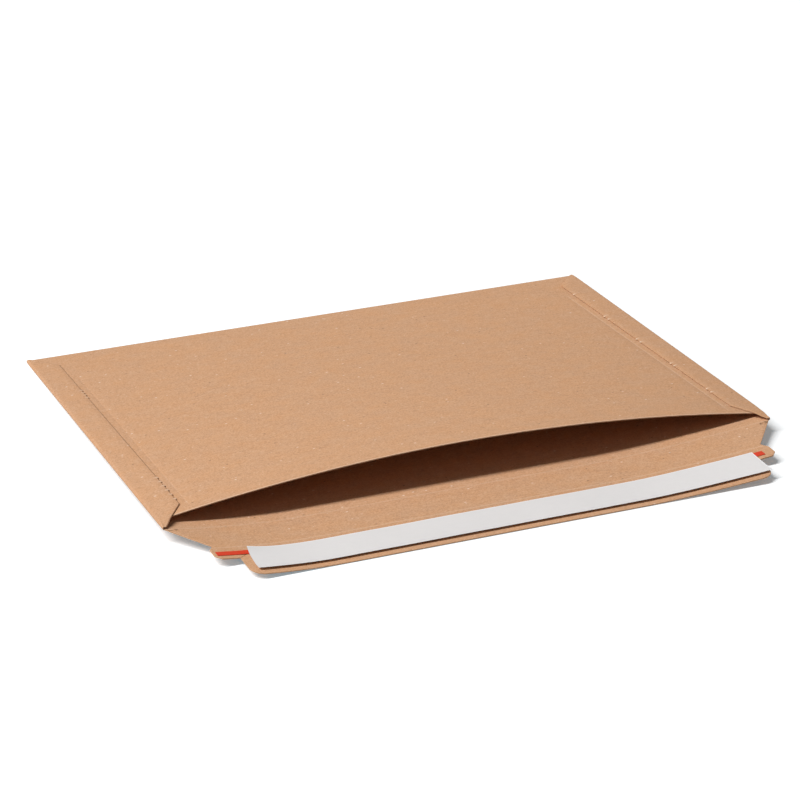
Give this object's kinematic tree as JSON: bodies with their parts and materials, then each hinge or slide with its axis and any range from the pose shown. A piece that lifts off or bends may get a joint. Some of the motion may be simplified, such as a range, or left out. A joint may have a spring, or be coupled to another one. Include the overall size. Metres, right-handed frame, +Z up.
{
  "type": "cardboard mailer envelope",
  "caption": "Flat pouch folded from one sheet of brown board, lying open, with a closure flap that carries a red tear strip and a white release liner over its adhesive.",
  "frame": {"origin": "on the table, under the middle of the whole outline", "axes": "+X along the mouth, from the left side fold to the right one; +Y from the closure flap to the far fold, so the pouch opens towards -Y; +Z up"},
  "size_m": [0.4, 0.35, 0.0267],
  "materials": {
    "board": "uncoated brown kraft board",
    "tear_tape": "smooth red tape",
    "adhesive": "clear to cream tacky band",
    "liner_paper": "smooth white silicone coated paper",
    "seam_glue": "dried glue line"
  },
  "bodies": {
    "root": {"mailer_board": "board", "tear_strip": "tear_tape", "adhesive_band": "adhesive", "release_liner": "liner_paper", "side_seam_left": "seam_glue", "side_seam_right": "seam_glue"}
  },
  "joints": []
}
